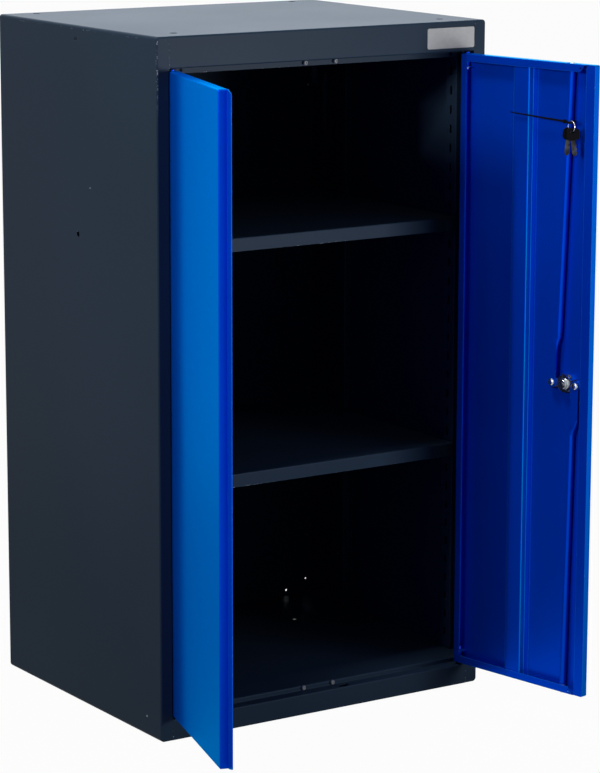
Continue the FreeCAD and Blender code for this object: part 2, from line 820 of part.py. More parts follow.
def door_block(outline, low, high, radius):
    block = prism(outline, on_plan, V(0, 0, high - low))
    block.translate(V(0, 0, low))
    near = min(b for a, b in outline)
    ends = (low, high)
    block = round_edges(block, radius, lambda e: runs_along(e, "y") and any(lies_at(e, "z", z) for z in ends))
    return round_edges(block, radius * FACE_SHARE, lambda e: lies_at(e, "y", near))


def door_pan(outer, inner, window):
    block = door_block(outer, DOOR_LOW, DOOR_HIGH, DOOR_BEND + GAUGE)
    room = door_block(inner, DOOR_LOW + GAUGE, DOOR_HIGH - GAUGE, DOOR_BEND)
    opening = prism(window, on_front, V(0, DOOR_THICK, 0))
    opening.translate(V(0, FREE_THICK - GAUGE - SEAT, 0))
    pan = block.cut(room).cut(opening)
    for height in (DOOR_LOW, DOOR_HIGH):
        pan = pan.cut(drill(PIN_R + PIN_HOLE_PLAY, V(PIN_IN, PIN_IN, height), UP, 2 * GAUGE))
    return pan


def soften_hinge_edge(pan):
    return round_edges(
        pan,
        GAUGE * FACE_SHARE,
        lambda e: runs_along(e, "z") and lies_at(e, "x", 0) and lies_at(e, "y", DOOR_THICK),
    )


low_in = DOOR_LOW + END_RETURN
high_in = DOOR_HIGH - END_RETURN
left_outer = [(0, 0), (DOOR_WIDE, 0), (DOOR_WIDE, DOOR_THICK), (0, DOOR_THICK)]
left_inner = [
    (GAUGE, GAUGE),
    (DOOR_WIDE - GAUGE, GAUGE),
    (DOOR_WIDE - GAUGE, DOOR_THICK - GAUGE),
    (GAUGE, DOOR_THICK - GAUGE),
]
left_window = [
    (HINGE_RETURN, low_in),
    (DOOR_WIDE - GAUGE, low_in),
    (DOOR_WIDE - GAUGE, high_in),
    (HINGE_RETURN, high_in),
]
left_pan = soften_hinge_edge(door_pan(left_outer, left_inner, left_window))
lip_end = DOOR_WIDE + LIP_WIDE
lip_plate = prism(
    [
        (DOOR_WIDE - GAUGE, DOOR_LOW),
        (DOOR_WIDE + LIP_CORNER, DOOR_LOW),
        (lip_end - LIP_CORNER, DOOR_LOW + LIP_SLOPE),
        (lip_end, DOOR_LOW + LIP_SLOPE + 2 * LIP_CORNER),
        (lip_end, DOOR_HIGH - LIP_SLOPE - 2 * LIP_CORNER),
        (lip_end - LIP_CORNER, DOOR_HIGH - LIP_SLOPE),
        (DOOR_WIDE + LIP_CORNER, DOOR_HIGH),
        (DOOR_WIDE - GAUGE, DOOR_HIGH),
    ],
    on_front,
    V(0, GAUGE, 0),
)
lip_plate.translate(V(0, DOOR_THICK - GAUGE, 0))
left_pan = fuse([left_pan, lip_plate])
save_left("left_door_panel", [left_pan])

free_in = DOOR_WIDE - FREE_RETURN
step_in = free_in - FREE_STEP
right_outer = [
    (0, 0),
    (DOOR_WIDE, 0),
    (DOOR_WIDE, FREE_THICK),
    (free_in, FREE_THICK),
    (step_in, DOOR_THICK),
    (0, DOOR_THICK),
]
right_inner = [
    (GAUGE, GAUGE),
    (DOOR_WIDE - GAUGE, GAUGE),
    (DOOR_WIDE - GAUGE, FREE_THICK - GAUGE),
    (free_in - FREE_WALL, FREE_THICK - GAUGE),
    (step_in - FREE_WALL, DOOR_THICK - GAUGE),
    (GAUGE, DOOR_THICK - GAUGE),
]
right_window = [
    (HINGE_RETURN, low_in),
    (step_in - SLANT, low_in),
    (step_in, DOOR_LOW + GAUGE),
    (free_in, DOOR_LOW + GAUGE),
    (free_in, DOOR_HIGH - GAUGE),
    (step_in, DOOR_HIGH - GAUGE),
    (step_in - SLANT, high_in),
    (HINGE_RETURN, high_in),
]
right_pan = soften_hinge_edge(door_pan(right_outer, right_inner, right_window))
for height in (DOOR_LOW + END_RETURN / 2, DOOR_HIGH - END_RETURN / 2):
    spot = V(step_in - RETURN_HOLE_IN, DOOR_THICK, height)
    right_pan = right_pan.cut(drill(RETURN_HOLE_R, spot, INWARD, 2 * GAUGE))
lock_hole = drill(BARREL_R + BARREL_HOLE_PLAY, V(LOCK_X, FRONT, LOCK_Z), INWARD, 2 * GAUGE)
right_shut = shut_right(right_pan).cut(lock_hole).cut(upper_slot).cut(lower_slot)
save_lock("right_door_panel", [right_shut])

# Upright hat stiffeners inside the doors
hat_half = HAT_FACE / 2
hat_top = DOOR_THICK - GAUGE - LAP_GAP - MID
hat_foot = GAUGE + MID
hat = folded(
    [
        (HAT_CENTRE - hat_half - HAT_FLANGE, hat_foot),
        (HAT_CENTRE - hat_half + MID, hat_foot),
        (HAT_CENTRE - hat_half + MID, hat_top),
        (HAT_CENTRE + hat_half - MID, hat_top),
        (HAT_CENTRE + hat_half - MID, hat_foot),
        (HAT_CENTRE + hat_half + HAT_FLANGE, hat_foot),
    ],
    on_plan,
    V(0, 0, DOOR_HIGH - DOOR_LOW - 2 * HAT_END),
)
hat.translate(V(0, 0, DOOR_LOW + HAT_END))
save_left("left_door_stiffener", [hat])
save_right("right_door_stiffener", [hat])

# Hinge pins with a bracket and a clip, upper ones up and lower ones down
pin_out = END_GAP + BUSH_LONG + PIN_END
pin_profile = [
    (0, -PIN_INSIDE),
    (PIN_R - PIN_CHAMFER, -PIN_INSIDE),
    (PIN_R, -PIN_INSIDE + PIN_CHAMFER),
    (PIN_R, pin_out - PIN_CONE),
    (PIN_R - PIN_CONE, pin_out),
    (0, pin_out),
]
ring_in = PIN_R + RIVET_PLAY
ring_half = CLIP_RING_THICK / 2
ring_profile = [
    (ring_in, -ring_half),
    (ring_in + CLIP_RING_WIDE, -ring_half),
    (ring_in + CLIP_RING_WIDE, ring_half),
    (ring_in, ring_half),
]
bracket_line = GAUGE + BRACKET_GAUGE / 2
bracket = folded(
    [(bracket_line, BRACKET_TAB), (bracket_line, 0), (GAUGE + BRACKET_LONG, 0)],
    on_front,
    V(0, DOOR_THICK - 2 * GAUGE - 2 * BRACKET_INSET, 0),
    BRACKET_GAUGE,
)
bracket.translate(V(0, GAUGE + BRACKET_INSET, 0))
bracket = bracket.cut(drill(PIN_R + PIN_RUN, V(PIN_IN, PIN_IN, 0), UP, 2 * BRACKET_GAUGE))
pin = turned(pin_profile, V(PIN_IN, PIN_IN, 0), UP)
pin_ring = turned(ring_profile, V(PIN_IN, PIN_IN, 0), UP)
ring_drop = BRACKET_DROP + BRACKET_GAUGE / 2 + CLIP_RING_GAP + ring_half
to_top = V(0, 0, DOOR_HIGH)
to_foot = V(0, 0, DOOR_LOW)
hung = [moved(bracket, V(0, 0, -BRACKET_DROP)), moved(pin_ring, V(0, 0, -ring_drop))]
brackets = [moved(hung[0], to_top), moved(upside_down(hung[0]), to_foot)]
pin_clips = [moved(hung[1], to_top), moved(upside_down(hung[1]), to_foot)]
for word, save_door in (("left", save_left), ("right", save_right)):
    save_door(word + "_upper_hinge_pin", [moved(pin, to_top)])
    save_door(word + "_lower_hinge_pin", [moved(upside_down(pin), to_foot)])
    save_door(word + "_pin_brackets", brackets)
    save_door(word + "_pin_clips", pin_clips)


# Lock barrel with rosette and nut, fixed to the right door
def lock_spot(depth):
    return V(LOCK_X, FRONT + depth, LOCK_Z)


bore = SPINDLE_R + SPINDLE_RUN
rim_out = -ROSETTE_TALL - BARREL_RIM
barrel_end = CAM_D - BARREL_END
barrel = turned(
    [
        (bore, rim_out),
        (BARREL_RIM_R - BARREL_EDGE, rim_out),
        (BARREL_RIM_R, rim_out + BARREL_EDGE),
        (BARREL_RIM_R, -ROSETTE_TALL),
        (BARREL_R, -ROSETTE_TALL),
        (BARREL_R, barrel_end),
        (bore, barrel_end),
    ],
    lock_spot(0),
    INWARD,
)
rosette = turned(
    [
        (BARREL_R + BARREL_PLAY, -ROSETTE_TALL),
        (BARREL_RIM_R + ROSETTE_TALL, -ROSETTE_TALL),
        (ROSETTE_R - BARREL_EDGE, -ROSETTE_TALL + BARREL_EDGE),
        (ROSETTE_R, -ROSETTE_TALL + 3 * BARREL_EDGE),
        (ROSETTE_R, 0.0),
        (BARREL_R + BARREL_PLAY, 0.0),
    ],
    lock_spot(0),
    INWARD,
)
barrel_nut = hexagon(NUT_ACROSS, lock_spot(GAUGE), NUT_TALL, INWARD)
barrel_nut = barrel_nut.cut(drill(BARREL_R + NUT_PLAY, lock_spot(GAUGE), INWARD, 2 * NUT_TALL))
save_lock("lock_barrel", [barrel])
save_lock("lock_rosette", [rosette])
save_lock("barrel_nut", [barrel_nut])

# Turning parts: spindle, cam, washer, nut and the two rod rivets
square_half = SQUARE / 2
square_from = CAM_D - BARREL_END
spindle_round = drum(SPINDLE_R, SPINDLE_GRIP + square_from, lock_spot(-SPINDLE_GRIP), INWARD)
spindle_square = box(
    LOCK_X - square_half,
    LOCK_X + square_half,
    FRONT + square_from,
    FRONT + CAM_FACE,
    LOCK_Z - square_half,
    LOCK_Z + square_half,
)
spindle_stud = drum(STUD_R, GAUGE + STUD_OUT, lock_spot(CAM_FACE - GAUGE), INWARD)
save_lock("lock_spindle", [fuse([spindle_round, spindle_square, spindle_stud])])

cam_y = FRONT + CAM_D
pin_places = (upper_pin[0], lower_pin[0])
bar_half = CAM_BAR / 2
cam_bar = box(LOCK_X - CAM_R, LOCK_X + CAM_R, cam_y, cam_y + CAM_GAUGE, LOCK_Z - bar_half, LOCK_Z + bar_half)
cam_hub = drum(CAM_HUB_R, CAM_GAUGE, lock_spot(CAM_D), INWARD)
cam_eyes = [drum(CAM_EYE_R, CAM_GAUGE, V(x, cam_y, LOCK_Z), INWARD) for x in pin_places]
cam = fuse([cam_bar, cam_hub] + cam_eyes)
square_hole = square_half + SPINDLE_RUN
cam = cam.cut(
    box(
        LOCK_X - square_hole,
        LOCK_X + square_hole,
        cam_y - CAM_GAUGE,
        cam_y + 2 * CAM_GAUGE,
        LOCK_Z - square_hole,
        LOCK_Z + square_hole,
    )
)
for x in pin_places:
    cam = cam.cut(drill(RIVET_R + RIVET_PLAY, V(x, cam_y, LOCK_Z), INWARD, 2 * CAM_GAUGE))
save_lock("lock_cam", [cam])
washer = turned(
    [
        (STUD_R + BARREL_PLAY, 0.0),
        (WASHER_R, 0.0),
        (WASHER_R, WASHER_TALL - WASHER_EDGE),
        (WASHER_R - WASHER_EDGE, WASHER_TALL),
        (STUD_R + BARREL_PLAY, WASHER_TALL),
    ],
    lock_spot(CAM_FACE),
    INWARD,
)
nut_low = lock_spot(CAM_FACE + WASHER_TALL)
nut_corner = CAM_NUT_ACROSS / math.sqrt(3)
nut_cone = turned(
    [
        (STUD_R + NUT_PLAY, 0.0),
        (nut_corner, 0.0),
        (nut_corner, CAM_NUT_TALL - CAM_NUT_EDGE),
        (nut_corner - CAM_NUT_EDGE, CAM_NUT_TALL),
        (STUD_R + NUT_PLAY, CAM_NUT_TALL),
    ],
    nut_low,
    INWARD,
)
save_lock("cam_washer", [washer])
save_lock("cam_nut", [hexagon(CAM_NUT_ACROSS, nut_low, CAM_NUT_TALL, INWARD).common(nut_cone)])
flat_low = CAM_FACE + ROD_SIDE_PLAY
flat_high = flat_low + ROD_FLAT_GAUGE
head_low = flat_high + ROD_SIDE_PLAY
rivet = [
    (0, CAM_D - RIVET_TAIL),
    (RIVET_TAIL_R - BARREL_EDGE, CAM_D - RIVET_TAIL),
    (RIVET_TAIL_R, CAM_D - RIVET_TAIL + BARREL_EDGE),
    (RIVET_TAIL_R, CAM_D),
    (RIVET_R, CAM_D),
    (RIVET_R, head_low),
] + dome(RIVET_HEAD_R, head_low, RIVET_DOME)
save_lock("rod_rivets", [turned(rivet, V(x, FRONT, LOCK_Z), INWARD) for x in pin_places])


# Turn handle on the outside, flared from a round neck into an oval grip that stands upright
def oval(length, width, depth):
    ring = Part.Ellipse(lock_spot(depth), length / 2, width / 2).toShape()
    ring.rotate(lock_spot(depth), OUT, 90)
    ring.rotate(lock_spot(depth), INWARD, 90)
    return Part.Wire([ring])


neck_end = HANDLE_IN - HANDLE_NECK
flare_end = neck_end - HANDLE_FLARE
grip_end = flare_end - HANDLE_GRIP
grip = Part.makeLoft(
    [
        oval(HANDLE_NECK_WIDE, HANDLE_NECK_TALL, HANDLE_IN),
        oval(HANDLE_NECK_WIDE + HANDLE_CROWN, HANDLE_NECK_TALL, neck_end),
        oval(HANDLE_WIDE - HANDLE_CROWN, HANDLE_TALL, flare_end),
        oval(HANDLE_WIDE, HANDLE_TALL, grip_end),
    ],
    True,
)
crown_mid = grip_end - HANDLE_CROWN * 0.72
grip_cap = Part.makeLoft(
    [
        oval(HANDLE_WIDE, HANDLE_TALL, grip_end),
        oval(HANDLE_WIDE - HANDLE_CROWN * 0.7, HANDLE_TALL - HANDLE_CROWN * 0.7, crown_mid),
        oval(HANDLE_WIDE - HANDLE_CROWN * 1.6, HANDLE_TALL - HANDLE_CROWN * 1.6, HANDLE_OUT),
    ],
    True,
    True,
)
handle = fuse([grip, grip_cap])
spindle_room = drum(SPINDLE_R + RIVET_PLAY, SPINDLE_GRIP, lock_spot(-SPINDLE_GRIP - RIVET_PLAY), INWARD)
plug_deep = PLUG_LONG - PLUG_OUT
plug_room = drum(PLUG_R + PLUG_RUN, 2 * plug_deep + PLUG_ROOM, lock_spot(HANDLE_OUT - plug_deep), INWARD)
handle = handle.cut(spindle_room).cut(plug_room)
save_lock("turn_handle", [handle])

# Key plug in the handle
plug = drum(PLUG_R, PLUG_LONG, lock_spot(HANDLE_OUT - PLUG_OUT), INWARD)
keyway_half = KEYWAY_WIDE / 2
keyway = box(
    LOCK_X - keyway_half,
    LOCK_X + keyway_half,
    FRONT + HANDLE_OUT - KEYWAY_DEEP,
    FRONT + HANDLE_OUT + KEYWAY_DEEP,
    LOCK_Z - KEYWAY_TALL / 2,
    LOCK_Z + KEYWAY_TALL / 2,
)
save_lock("key_plug", [plug.cut(keyway)])


# Lock rods: flattened eye on the cam rivet, crank, round bar with a coned tip
def lock_rod(pin, guide, tip_z):
    sign = 1.0 if guide[1] > pin[1] else -1.0
    turn = lean(sign, pin, guide)
    beside = -sign * CRANK_SIDE
    length = (abs(tip_z - pin[1]) + beside * math.sin(turn)) / math.cos(turn)
    half = ROD_FLAT_WIDE / 2
    eye = drum(half, ROD_FLAT_GAUGE, V(0, flat_low, 0), INWARD)
    strap = box(-half, half, flat_low, flat_high, 0, ROD_STRAP)
    flat = fuse([eye, strap])
    flat = flat.cut(drill(RIVET_R + ROD_RUN, V(0, flat_low, 0), INWARD, 2 * ROD_FLAT_GAUGE))
    sections = []
    for share in (0.0, 0.35, 0.7, 1.0):
        wide = half + (ROD_R - half) * share
        thick = ROD_FLAT_GAUGE / 2 + (ROD_R - ROD_FLAT_GAUGE / 2) * share
        eased = 3 * share ** 2 - 2 * share ** 3
        centre = (flat_low + flat_high) / 2
        centre = centre + (ROD_D - centre) * eased
        corners = []
        for k in range(16):
            angle = (k + 0.5) * math.pi / 8
            power = 0.35 + 0.65 * share
            a = math.copysign(abs(math.cos(angle)) ** power, math.cos(angle))
            b = math.copysign(abs(math.sin(angle)) ** power, math.sin(angle))
            corners.append(V(beside * eased + wide * a, centre + thick * b, ROD_STRAP + ROD_CRANK * share))
        sections.append(Part.makePolygon(corners + corners[:1]))
    crank = Part.makeLoft(sections, True, True)
    bar_from = ROD_STRAP + ROD_CRANK
    bar_long = length - bar_from
    bar = turned(
        [(0, 0), (ROD_R, 0), (ROD_R, bar_long - ROD_CONE), (ROD_R - ROD_TIP, bar_long), (0, bar_long)],
        V(beside, ROD_D, bar_from),
        UP,
    )
    rod = fuse([flat, crank, bar])
    if sign < 0:
        rod = upside_down(rod)
    rod.rotate(V(0, 0, 0), INWARD, sign * math.degrees(turn))
    rod.translate(V(pin[0], FRONT, pin[1]))
    return rod


save_lock("upper_lock_rod", [lock_rod(upper_pin, upper_guide, DOOR_HIGH + TIP_OUT)])
save_lock("lower_lock_rod", [lock_rod(lower_pin, lower_guide, DOOR_LOW - TIP_OUT)])


# Tie round the upper rod, a long loop that carries the key ring
def flat_way(degrees):
    angle = math.radians(degrees)
    return V(math.cos(angle), math.sin(angle), 0)


rod_at_tie = V(bar_place(1, upper_pin, TIE_Z, lean(1, upper_pin, upper_guide)), FRONT + ROD_D, TIE_Z)
loop_angle = 180.0 - LOOP_RISE
loop_way = flat_way(loop_angle)
loop_side = flat_way(loop_angle + 90.0)
loop_end = rod_at_tie + loop_way * LOOP_OUT


def long_loop(radius, tall):
    a = rod_at_tie - V(0, 0, tall / 2)
    b = loop_end - V(0, 0, tall / 2)
    beside = loop_side * radius
    ahead = loop_way * radius
    edges = [
        Part.makeLine(a + beside, b + beside),
        Part.Arc(b + beside, b + ahead, b - beside).toShape(),
        Part.makeLine(b - beside, a - beside),
        Part.Arc(a - beside, a - ahead, a + beside).toShape(),
    ]
    return Part.Face(Part.Wire(edges)).extrude(V(0, 0, tall))


loop_in = ROD_R + TIE_PLAY
loop_out = loop_in + TIE_GAUGE
loop = long_loop(loop_out, TIE_TALL).cut(long_loop(loop_in, 2 * TIE_TALL))
head_spot = rod_at_tie + loop_way * (LOOP_OUT * TIE_HEAD_SHARE) - loop_side * (loop_in + TIE_HEAD_AWAY)
long_half = TIE_HEAD_LONG / 2
thick_half = TIE_HEAD_THICK / 2
tall_half = TIE_HEAD_TALL / 2
head = box(-long_half, long_half, -thick_half, thick_half, -tall_half, tall_half)
head = round_edges(head, TIE_HEAD_SOFT, lambda e: True)
head.rotate(V(0, 0, 0), UP, loop_angle)
head.translate(head_spot)


def tail_section(spot, tall, thick):
    a = tall / 2
    b = thick / 2
    corners = [spot + V(0, y, z) for y, z in ((-b, -a), (b, -a), (b, a), (-b, a))]
    return Part.makePolygon(corners + corners[:1])


tail_root = head_spot + V(TIE_GAUGE, 0, 0)
tail_bend = V(rod_at_tie.x + TAIL_BEND, FRONT + DOOR_THICK + TAIL_BEND_OVER, TIE_Z + TAIL_BEND_RISE)
tail_tip = V(rod_at_tie.x + TAIL_REACH, FRONT + DOOR_THICK + TAIL_TIP_OVER, TIE_Z + TAIL_TIP_RISE)
tail = Part.makeLoft(
    [
        tail_section(tail_root, TIE_TALL, TIE_GAUGE),
        tail_section(tail_bend, TIE_TALL * 0.85, TIE_GAUGE),
        tail_section(tail_tip, TAIL_TIP_TALL, TIE_GAUGE * 0.8),
    ],
    True,
    True,
)
save_lock("cable_tie", [fuse([loop, head, tail])])

# Key ring hanging in the end of the loop, with two keys on it
strip_spot = loop_end + loop_way * (loop_in + TIE_GAUGE / 2)
ring_drop = RING_R - RING_WIRE - RING_PLAY - TIE_TALL / 2
ring_centre = strip_spot - UP * ring_drop
ring_angle = loop_angle + RING_TURN
ring_way = flat_way(ring_angle)
save_lock("key_ring", [Part.makeTorus(RING_R, RING_WIRE, ring_centre, flat_way(ring_angle + 90.0))])


def key_pieces(angle, twist):
    grip_half = HEAD_WIDE / 2
    gauge_half = HEAD_GAUGE / 2
    low = HEAD_OVER_HOLE - HEAD_TALL
    grip = box(-grip_half, grip_half, -gauge_half, gauge_half, low, HEAD_OVER_HOLE)
    grip = round_edges(grip, HEAD_CORNER, lambda e: runs_along(e, "y"))
    grip = round_edges(grip, HEAD_SOFT, lambda e: lies_at(e, "y", -gauge_half) or lies_at(e, "y", gauge_half))
    grip = grip.cut(drill(KEY_HOLE_R, V(0, 0, 0), INWARD, 2 * HEAD_GAUGE))
    edge = BLADE_WIDE / 2
    tip = low - BLADE_LONG
    shoulder = tip + BLADE_POINT
    bitting = []
    for step in range(3):
        bitting.append((-edge, shoulder + BLADE_PITCH * step))
        bitting.append((-edge + BLADE_NOTCH, shoulder + BLADE_PITCH * (step + 0.5)))
    blade = prism(
        [(-edge, low), (edge, low), (edge, shoulder), (edge - BLADE_POINT / 2, tip), (-edge + BLADE_POINT / 2, tip)]
        + bitting,
        on_front,
        V(0, BLADE_GAUGE, 0),
    )
    blade.translate(V(0, -BLADE_GAUGE / 2, 0))
    swing = math.radians(angle)
    spot = ring_centre + ring_way * (RING_R * math.sin(swing)) - UP * (RING_R * math.cos(swing))
    for piece in (grip, blade):
        piece.rotate(V(0, 0, 0), INWARD, angle * KEY_FAN)
        piece.rotate(V(0, 0, 0), UP, ring_angle - 90.0 - twist)
        piece.translate(spot)
    return grip, blade


keys = [key_pieces(-KEY_SPREAD, KEY_TWIST), key_pieces(KEY_SPREAD, KEY_TWIST + KEY_TWIST_STEP)]
save_lock("key_heads", [key[0] for key in keys])
save_lock("key_blades", [key[1] for key in keys])
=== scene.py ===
"""Looks of a steel base cabinet with two open doors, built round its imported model."""

import math

import bpy
from mathutils import Matrix, Vector

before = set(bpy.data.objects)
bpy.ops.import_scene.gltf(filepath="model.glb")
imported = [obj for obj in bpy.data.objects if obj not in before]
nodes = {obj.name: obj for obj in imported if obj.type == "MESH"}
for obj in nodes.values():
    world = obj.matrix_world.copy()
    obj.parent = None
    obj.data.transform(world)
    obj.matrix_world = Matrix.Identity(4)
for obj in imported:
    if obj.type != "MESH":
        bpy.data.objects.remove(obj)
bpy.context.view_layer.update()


class Wire:
    """A socket of a finish. Arithmetic on it adds Math nodes."""

    def __init__(self, finish, socket):
        self.finish = finish
        self.socket = socket

    def __add__(self, other):
        return self.finish.value("ADD", self, other)

    def __radd__(self, other):
        return self.finish.value("ADD", other, self)

    def __sub__(self, other):
        return self.finish.value("SUBTRACT", self, other)

    def __rsub__(self, other):
        return self.finish.value("SUBTRACT", other, self)

    def __mul__(self, other):
        return self.finish.value("MULTIPLY", self, other)

    def __rmul__(self, other):
        return self.finish.value("MULTIPLY", other, self)


class Finish:
    """One procedural finish and the nodes that make it. Sizes are in metres on the piece."""

    def __init__(self, name, kept_in=bpy.data.materials):
        self.made = kept_in.new(name)
        self.made.use_nodes = True
        self.tree = self.made.node_tree
        self.tree.nodes.clear()

    def node(self, kind, settings=None, sockets=None, result=0):
        made = self.tree.nodes.new(kind)
        for key, setting in (settings or {}).items():
            setattr(made, key, setting)
        for key, given in (sockets or {}).items():
            if isinstance(given, Wire):
                self.tree.links.new(given.socket, made.inputs[key])
            else:
                made.inputs[key].default_value = given
        if made.outputs:
            return Wire(self, made.outputs[result])

    def value(self, operation, first, second):
        return self.node("ShaderNodeMath", {"operation": operation}, {0: first, 1: second})

    def vector(self, operation, first, second=(0.0, 0.0, 0.0), result="Value"):
        settings = {"operation": operation}
        return self.node("ShaderNodeVectorMath", settings, {0: first, 1: second}, result)

    def place(self):
        return self.node("ShaderNodeTexCoord", result="Object")

    def normal(self):
        return self.node("ShaderNodeNewGeometry", result="Normal")

    def stretched(self, place, factors):
        return self.vector("MULTIPLY", place, factors, "Vector")

    def part_of(self, place, axis):
        return self.node("ShaderNodeSeparateXYZ", {}, {0: place}, axis)

    def noise(self, place, size, detail=2.0):
        sockets = {"Vector": place, "Scale": 1 / size, "Detail": detail}
        return self.node("ShaderNodeTexNoise", {}, sockets)

    def span(self, given, low, high):
        """0 up to low, 1 from high on, and smooth between them."""
        settings = {"interpolation_type": "SMOOTHSTEP"}
        sockets = {"Value": given, "From Min": low, "From Max": high}
        return self.node("ShaderNodeMapRange", settings, sockets)

    def blend(self, share, first, second):
        settings = {"data_type": "RGBA"}
        return self.node("ShaderNodeMix", settings, {0: share, 6: first, 7: second}, 2)

    def edge(self, radius):
        """0 on flats and more where two faces meet."""
        soft = self.node("ShaderNodeBevel", {"samples": 4}, {"Radius": radius})
        return 1 - self.vector("DOT_PRODUCT", soft, self.normal())

    def towards(self, way):
        """1 on faces of the piece that look along a direction at rest, less on turned ones."""
        settings = {"vector_type": "NORMAL", "convert_from": "WORLD", "convert_to": "OBJECT"}
        own = self.node("ShaderNodeVectorTransform", settings, {0: self.normal()})
        return self.vector("DOT_PRODUCT", own, way)

    def spot(self, place, centre, radius):
        """1 in a small round place on the piece."""
        away = self.vector("DISTANCE", place, centre)
        return 1 - self.span(away, 0.6 * radius, radius)

    def seen(self, in_gloss=1.0):
        """1 for what the camera sees, a share for gloss, 0 for the light that falls on other pieces."""
        path = "ShaderNodeLightPath"
        direct = self.node(path, result="Is Camera Ray")
        gloss = self.node(path, result="Is Glossy Ray")
        return direct + gloss * in_gloss + self.node(path, result="Is Transmission Ray")

    def bump(self, height, strength, depth):
        sockets = {"Strength": strength, "Distance": depth, "Height": height}
        return self.node("ShaderNodeBump", {}, sockets)

    def done(self, sockets):
        skin = self.node("ShaderNodeBsdfPrincipled", {}, sockets)
        self.node("ShaderNodeOutputMaterial", {}, {"Surface": skin})
        return self.made


def rgb(red, green, blue):
    return (red, green, blue, 1.0)


# Paints

STEEL = rgb(0.66, 0.67, 0.69)
EDGE_REACH = 0.0016
BEND_REACH = 0.0024
BARE_FADE = 0.0006
PEEL_DEPTH = 0.00025


def powder_coat(
    name,
    deep,
    pale,
    chip_and_glint,
    roughness,
    metallic,
    gloss,
    chips=(),
    bend_glints=None,
    bare_ends=None,
    painted_angle_tones=None,
    painted_side_light=None,
    painted_edge_highlight=None,
):
    """Sprayed and baked paint: orange peel, a slow drift of tone, and pale flecks on the edges that are
    painted glints.

    chips are small round places, real chips in the paint, and bare_ends are the heights past which the
    steel is bare.
    An upright bend with two heights holds more painted glints. The tones of turned and of steep faces are
    a painted reflection that follows the angle of view, a direction on the piece with a tone paints light
    on the faces that look along it, and the tone of the edges is a painted highlight.
    """
    coat = Finish(name)
    place = coat.place()
    drift = coat.noise(place, size=0.3, detail=3.0)
    peel = coat.noise(place, size=0.0026)
    grain = coat.noise(place, size=0.0007, detail=1.0)
    colour = coat.blend(coat.span(drift, low=0.3, high=0.7), deep, pale)
    # Painted reflection: turned and steep faces take paler tones by the angle of view.
    if painted_angle_tones:
        turned, steep = painted_angle_tones
        facing = coat.node("ShaderNodeLayerWeight", {}, {"Blend": 0.5}, "Facing")
        colour = coat.blend(coat.span(facing, low=0.29, high=0.38), colour, turned)
        colour = coat.blend(coat.span(facing, low=0.45, high=0.75), colour, steep)
    # Painted light: faces that look along the given direction take a paler tone, as if lit.
    if painted_side_light:
        way, tone = painted_side_light
        colour = coat.blend(coat.span(coat.towards(way), low=0.55, high=0.80), colour, tone)
    # Pale flecks in clusters along the edges: painted glints of the grainy coat.
    rim = coat.span(coat.edge(EDGE_REACH), low=0.03, high=0.25)
    cluster = coat.span(coat.noise(place, size=0.045), low=0.45, high=0.62)
    glint_noise = coat.span(coat.noise(place, size=0.0017, detail=1.0), low=0.60, high=0.67)
    pale_marks = rim * glint_noise * cluster
    # More painted glints on an upright bend, between two heights.
    if bend_glints:
        corner, low, high = bend_glints
        bend = coat.spot(coat.stretched(place, (1.0, 1.0, 0.0)), corner, BEND_REACH)
        pale_marks = pale_marks + bend * glint_noise * coat.span(coat.part_of(place, "Z"), low, high)
    # Real chips in the paint, in small round places.
    for centre, radius in chips:
        pale_marks = pale_marks + coat.spot(place, centre, radius)
    # Painted highlight: a paler tone along the edges.
    if painted_edge_highlight:
        colour = coat.blend(rim * 0.5, colour, painted_edge_highlight)
    # The pale marks take one tone: real chips and painted glints.
    colour = coat.blend(coat.span(pale_marks, low=0.0, high=1.0), colour, chip_and_glint)
    if bare_ends:
        low, high = bare_ends
        height = coat.part_of(place, "Z")
        past_high = coat.span(height, high - BARE_FADE, high)
        bare = past_high + 1 - coat.span(height, low, low + BARE_FADE)
        colour = coat.blend(bare, colour, STEEL)
        metallic = metallic + bare * (1.0 - metallic)
    return coat.done(
        {
            "Base Color": colour,
            "Metallic": metallic,
            "Roughness": roughness + 0.1 * (drift - 0.5) + 0.08 * (grain - 0.5),
            "Normal": coat.bump(peel * 0.8 + grain * 0.2, strength=0.22, depth=PEEL_DEPTH),
            **gloss,
        }
    )


carcass_paint = powder_coat(
    "carcass_paint",
    deep=rgb(0.0120, 0.0235, 0.0415),
    pale=rgb(0.0145, 0.0270, 0.0465),
    chip_and_glint=rgb(0.42, 0.45, 0.50),
    roughness=0.40,
    metallic=0.0,
    gloss={"Specular IOR Level": 0.03},
    # Two real chips in the paint, and painted glints high up on the front left bend.
    chips=(((-0.25, -0.0358, 0.695), 0.0011), ((-0.25, -0.1693, 0.0266), 0.0016)),
    bend_glints=((-0.25, -0.205, 0.0), 0.76, 0.92),
)

DOOR_PALE = rgb(0.0, 0.057, 0.63)
DOOR_COAT = {
    "deep": rgb(0.0, 0.050, 0.58),
    "pale": DOOR_PALE,
    # Pale blue of the painted glints on the edges.
    "chip_and_glint": rgb(0.12, 0.34, 0.85),
    "roughness": 0.32,
    "metallic": 0.65,
    "gloss": {"Specular IOR Level": 0.0, "Specular Tint": rgb(0.0, 1.0, 1.0)},
}
SHEET_COAT = {
    **DOOR_COAT,
    # Painted reflection: paler tones on turned and steep faces, by the angle of view.
    "painted_angle_tones": (rgb(0.0, 0.085, 0.48), rgb(0.0, 0.090, 0.60)),
    # Painted highlight along the edges.
    "painted_edge_highlight": rgb(0.03, 0.22, 0.75),
}
